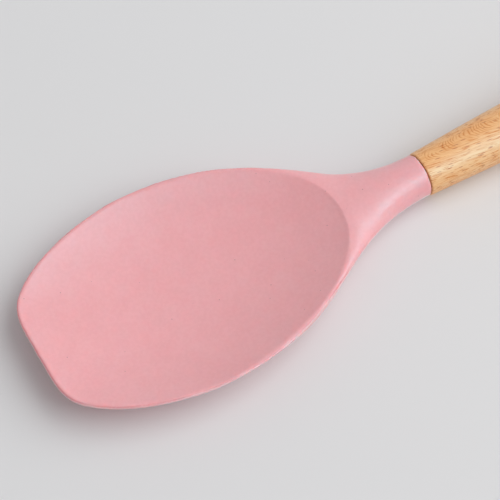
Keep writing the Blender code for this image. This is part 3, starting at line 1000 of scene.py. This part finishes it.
hole_x = end - HOLE_FROM_END
falling = sorted(handle_line, key=lambda point: -point.x)
surface_radius = value_at(falling, hole_x)
mouth = []
for step in range(EASE_STEPS + 1):
    turn = EASE_END * step / EASE_STEPS
    mouth.append((HOLE_RADIUS + HOLE_EASE * (1 - cos(turn)), HOLE_EASE * (1 - sin(turn))))
last_radius, last_depth = mouth[-1]
mouth.append((last_radius + HOLE_EASE * sin(EASE_END), last_depth - HOLE_EASE * cos(EASE_END)))
mouth.append((mouth[-1][0], -DRILL_ABOVE))
drill_rings = [(ring_radius, depth, -1) for ring_radius, depth in reversed(mouth)]
drill_rings += [(ring_radius, depth, 1) for ring_radius, depth in mouth]
print("rings of the drill:", len(drill_rings))

# %% Cut the hanging hole
DRILL_POINTS = 64
HANDLE_SOFT_UP_TO = radians(32)


def drill_point(ring, turn):
    """A corner of the drill, its depth measured from the round surface over it."""
    ring_radius, depth, half = drill_rings[ring]
    y = ring_radius * sin(turn)
    surface = sqrt(surface_radius**2 - y**2)
    return Vector((hole_x + ring_radius * cos(turn), y, half * (surface - depth)))


cut(handle, stack_of_rings("drill_tool", DRILL_POINTS, len(drill_rings), drill_point))
lay_down(handle)
only(handle)
bpy.ops.object.shade_smooth_by_angle(angle=HANDLE_SOFT_UP_TO)
print("drilled handle:", len(handle.data.polygons), "faces")

# %% [markdown]
# ## Beech wood
# Beech is pale orange-brown and close-grained. Where its growth rings run out of the surface they
# show as a strip of small nested arcs, and elsewhere as fine lines that stray a few degrees from
# the axis. Its rays are thin dark dashes, which name the wood. A picture of wood wrapped round
# the handle would show a seam and no end grain. So all of it is a solid pattern, measured along
# the handle's axis, and the lines and the butt's end grain come from the same rings.

# %% Measure along the handle's axis
BEECH_ROUGHNESS = 0.45


def vector_node(tree, operation, first, second=(0, 0, 0)):
    """The outputs of one sum on vectors."""
    node = add_node(tree, "ShaderNodeVectorMath", i0=first, i1=second)
    node.operation = operation
    return node.outputs


def stretched(tree, vector, cells_per_m):
    """The pattern's vector with so many cells in a metre along the grain and across it."""
    along, across = cells_per_m
    return vector_node(tree, "MULTIPLY", vector, (along, across, across))["Vector"]


def wave(tree, vector, cells_per_m, depth):
    """A soft random wave, up and down by half its depth."""
    noise = noise_node(tree, stretched(tree, vector, cells_per_m), 1.0, detail=2.0)
    return product(tree, math_node(tree, "SUBTRACT", noise, 0.5), 2 * depth)


beech, tree, shader = new_material("oiled_beech", BEECH_ROUGHNESS)
place = tree.nodes.new("ShaderNodeTexCoord").outputs["Object"]
lathe = add_node(
    tree, "ShaderNodeMapping", Vector=place, Location=collar_end, Rotation=Vector((0, lie_angle, 0))
)
lathe.vector_type = "TEXTURE"
along = lathe.outputs[0]
print("grain runs along the handle from", collar_end)

# %% Growth rings
RING_MIDDLE = (0.0, -8.0 * MM, -39.0 * MM)
RING_TAPER = 0.03
RING_WIDTH = 1.9 * MM
RING_WAVER = 0.9 * MM
RING_WAVES_PER_M = (9, 60)
LATE_WOOD = (0.3, 0.97)

from_middle = vector_node(tree, "SUBTRACT", along, RING_MIDDLE)["Vector"]
from_middle = vector_node(tree, "MULTIPLY", from_middle, (RING_TAPER, 1, 1))["Vector"]
ring_distance = vector_node(tree, "LENGTH", from_middle)["Value"]
ring_waver = wave(tree, along, RING_WAVES_PER_M, RING_WAVER)
ring_place = math_node(tree, "ADD", ring_distance, ring_waver)
ring_share = math_node(tree, "FRACT", math_node(tree, "DIVIDE", ring_place, RING_WIDTH))
late_wood = spread(tree, ring_share, *LATE_WOOD)
print("rings:", round(RING_WIDTH / MM, 2), "mm wide")

# %% Strip of nested arcs
ARC_MIDDLE_LINE = (0.0, 0.98, -0.19)
ARC_HALF_WIDTH = 3.2 * MM
ARC_SURE_SHARE = 0.4
ARC_RUN_OUT = 0.13
ARC_STEP = 0.24 * MM
ARC_LINE = (0.24, 0.45)
ARC_WAVER = 0.45 * MM
ARC_WAVES_PER_M = (120, 150)
ARC_PATCHES_PER_M = (170, 260)
ARC_PATCHES = (0.4, 0.58)
ARC_STRENGTH = 0.9

way_along = add_node(tree, "ShaderNodeSeparateXYZ", Vector=along).outputs["X"]
arc_place = math_node(tree, "ADD", ring_distance, product(tree, way_along, ARC_RUN_OUT))
arc_place = math_node(tree, "ADD", arc_place, wave(tree, along, ARC_WAVES_PER_M, ARC_WAVER))
arcs = math_node(tree, "PINGPONG", arc_place, ARC_STEP / 2)
arcs = spread(tree, arcs, ARC_STEP * ARC_LINE[0], ARC_STEP * ARC_LINE[1])
from_arcs = vector_node(tree, "DOT_PRODUCT", along, ARC_MIDDLE_LINE)["Value"]
from_arcs = math_node(tree, "ABSOLUTE", from_arcs)
arc_strip = spread(tree, from_arcs, ARC_HALF_WIDTH, ARC_HALF_WIDTH * ARC_SURE_SHARE)
arc_patches = noise_node(tree, stretched(tree, along, ARC_PATCHES_PER_M), 1.0, detail=1.0)
arc_patches = spread(tree, arc_patches, *ARC_PATCHES, 0.0, ARC_STRENGTH)
arcs = product(tree, arcs, arc_strip, arc_patches)
print("arcs:", round(ARC_STEP / MM, 2), "mm apart")

# %% Streaks, strokes and ray flecks
GRAIN_TWIST = radians(10)
BROAD_PER_M = (12, 190)
STREAKS_PER_M = (26, 1500)
FIBRES = (0.45, 0.7)
STROKES_PER_M = (160, 2100)
STROKES = (0.5, 0.68)
STROKES_LESS_IN_ARCS = 0.6
FLECKS_PER_M = (230, 1900)
FLECK_RADIUS = 0.36
FLECK_CELLS = 0.4

twist = add_node(tree, "ShaderNodeMapping", Vector=along, Rotation=Vector((0, 0, GRAIN_TWIST)))
twisted = twist.outputs[0]
broad = noise_node(tree, stretched(tree, along, BROAD_PER_M), 1.0, detail=2.0)
streaks = stretched(tree, twisted, STREAKS_PER_M)
streaks = noise_node(tree, streaks, 1.0, detail=4.0, roughness=0.6)
strokes = stretched(tree, twisted, STROKES_PER_M)
strokes = noise_node(tree, strokes, 1.0, detail=3.0, roughness=0.65)
off_arcs = math_node(tree, "MULTIPLY_ADD", arc_strip, -STROKES_LESS_IN_ARCS, 1.0)
strokes = product(tree, spread(tree, strokes, *STROKES), off_arcs)
flecks = speckle(tree, stretched(tree, twisted, FLECKS_PER_M), 1.0, FLECK_RADIUS, FLECK_CELLS)
print("grain strays by", round(GRAIN_TWIST * 180 / pi), "degrees")

# %% Colours of the beech
BEECH = (251, 193, 131)
BEECH_DARK = (221, 134, 52)
BEECH_PALE = (248, 201, 146)
RAY_FLECK = (176, 70, 8)
LATE_WOOD_STRENGTH = 0.1
FIBRES_STRENGTH = 0.5
FLECKS_STRENGTH = 0.75

wood = colour_mix(tree, spread(tree, broad, *NOISE_WIDE), light(BEECH), light(BEECH_PALE))
fibres = product(tree, spread(tree, streaks, *FIBRES), FIBRES_STRENGTH)
for dark in (product(tree, late_wood, LATE_WOOD_STRENGTH), arcs, fibres, strokes):
    wood = colour_mix(tree, dark, wood, light(BEECH_DARK))
wood = colour_mix(tree, product(tree, flecks, FLECKS_STRENGTH), wood, light(RAY_FLECK))
tree.links.new(wood, shader.inputs["Base Color"])
print("beech:", BEECH, "to", BEECH_DARK)

# %% [markdown]
# ## Oiled surface
# The handle is oiled, not varnished. A clear coat with the roughness of the wood gives its satin
# sheen, and the coat is weaker on the dark strokes of the grain, where the oil sinks in. The
# streaks stand a few hundredths of a millimetre over the rest.

# %% Oil on the beech
ROUGHNESS_FALL = 0.05
ROUGHNESS_RISE = 0.08
STREAKS_DEPTH = 0.035 * MM
BEECH_GLOSS = 0.5
OIL_GLOSS = 0.5
OIL_ROUGHNESS = 0.45
OIL_SUNK_IN = 0.6

sheen = spread(
    tree, streaks, *NOISE_WIDE, BEECH_ROUGHNESS - ROUGHNESS_FALL, BEECH_ROUGHNESS + ROUGHNESS_RISE
)
tree.links.new(sheen, shader.inputs["Roughness"])
tree.links.new(bump(tree, streaks, STREAKS_DEPTH), shader.inputs["Normal"])
dark_grain = math_node(tree, "MAXIMUM", strokes, flecks)
shine = math_node(tree, "MULTIPLY_ADD", dark_grain, -OIL_SUNK_IN, 1.0)
tree.links.new(product(tree, shine, OIL_GLOSS), shader.inputs["Coat Weight"])
shader.inputs["Coat Roughness"].default_value = OIL_ROUGHNESS
shader.inputs["Specular IOR Level"].default_value = BEECH_GLOSS
handle.data.materials.clear()
handle.data.materials.append(beech)
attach(handle, "root")
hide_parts("beech_handle")
print("beech on", handle.name)

# %% [markdown]
# ## Hidden pieces
# The core, the tang and the glue keep the CAD model's own solids, because nothing of them shows
# when the spatula is whole. They still get finishes of their own: moulded black nylon with faint
# flow marks, drawn steel with fine lines along the rod, and amber epoxy with small bubbles.

# %% Nylon core
NYLON = (52, 52, 55)
NYLON_PALE = (64, 64, 67)
NYLON_ROUGHNESS = 0.5
NYLON_ROUGH_RANGE = (0.42, 0.58)
FLOW_PER_M = (20, 90)
FLOW_CURL = 0.6
NYLON_GRAIN_PER_M = 1800
NYLON_GRAIN_DEPTH = 0.02 * MM


def dress(node_name, material):
    """Gives a CAD node another material in place of its own."""
    node = frame["nodes"][node_name]
    for slot in node.material_slots:
        slot.material = material
    print(node_name, "wears", material.name)


nylon, tree, shader = new_material("moulded_nylon", NYLON_ROUGHNESS)
place = tree.nodes.new("ShaderNodeTexCoord").outputs["Object"]
flow = stretched(tree, place, FLOW_PER_M)
flow = noise_node(tree, flow, 1.0, detail=3.0, distortion=FLOW_CURL)
black = colour_mix(tree, flow, light(NYLON), light(NYLON_PALE))
tree.links.new(black, shader.inputs["Base Color"])
tree.links.new(spread(tree, flow, *NOISE_WIDE, *NYLON_ROUGH_RANGE), shader.inputs["Roughness"])
relief = bump(tree, noise_node(tree, place, NYLON_GRAIN_PER_M), NYLON_GRAIN_DEPTH)
tree.links.new(relief, shader.inputs["Normal"])
dress("nylon_core", nylon)

# %% Steel tang
STEEL = (196, 198, 201)
STEEL_DARK = (168, 170, 174)
STEEL_ROUGHNESS = 0.3
STEEL_ROUGH_RANGE = (0.22, 0.38)
DRAWN_LINES_PER_M = (30, 4200)
DRAWN_LINES_DEPTH = 0.01 * MM

steel, tree, shader = new_material("drawn_steel", STEEL_ROUGHNESS)
place = tree.nodes.new("ShaderNodeTexCoord").outputs["Object"]
lines = noise_node(tree, stretched(tree, place, DRAWN_LINES_PER_M), 1.0, detail=3.0)
bright = colour_mix(tree, lines, light(STEEL_DARK), light(STEEL))
tree.links.new(bright, shader.inputs["Base Color"])
tree.links.new(spread(tree, lines, *NOISE_WIDE, *STEEL_ROUGH_RANGE), shader.inputs["Roughness"])
tree.links.new(bump(tree, lines, DRAWN_LINES_DEPTH), shader.inputs["Normal"])
shader.inputs["Metallic"].default_value = 1.0
dress("steel_tang", steel)

# %% Epoxy sleeve
EPOXY = (205, 172, 98)
EPOXY_PALE = (226, 202, 142)
EPOXY_ROUGHNESS = 0.25
EPOXY_ROUGH_RANGE = (0.18, 0.32)
CURED_CLOUDS_PER_M = 320
BUBBLES_PER_M = 900
BUBBLE_RADIUS = 0.3
BUBBLE_CELLS = 0.5
BUBBLE_DEPTH = 0.05 * MM

epoxy, tree, shader = new_material("amber_epoxy", EPOXY_ROUGHNESS)
place = tree.nodes.new("ShaderNodeTexCoord").outputs["Object"]
cured = noise_node(tree, place, CURED_CLOUDS_PER_M, detail=3.0)
bubbles = speckle(tree, place, BUBBLES_PER_M, BUBBLE_RADIUS, BUBBLE_CELLS)
amber = colour_mix(tree, cured, light(EPOXY), light(EPOXY_PALE))
amber = colour_mix(tree, bubbles, amber, light(EPOXY_PALE))
tree.links.new(amber, shader.inputs["Base Color"])
tree.links.new(spread(tree, cured, *NOISE_WIDE, *EPOXY_ROUGH_RANGE), shader.inputs["Roughness"])
tree.links.new(bump(tree, bubbles, BUBBLE_DEPTH), shader.inputs["Normal"])
dress("epoxy_sleeve", epoxy)
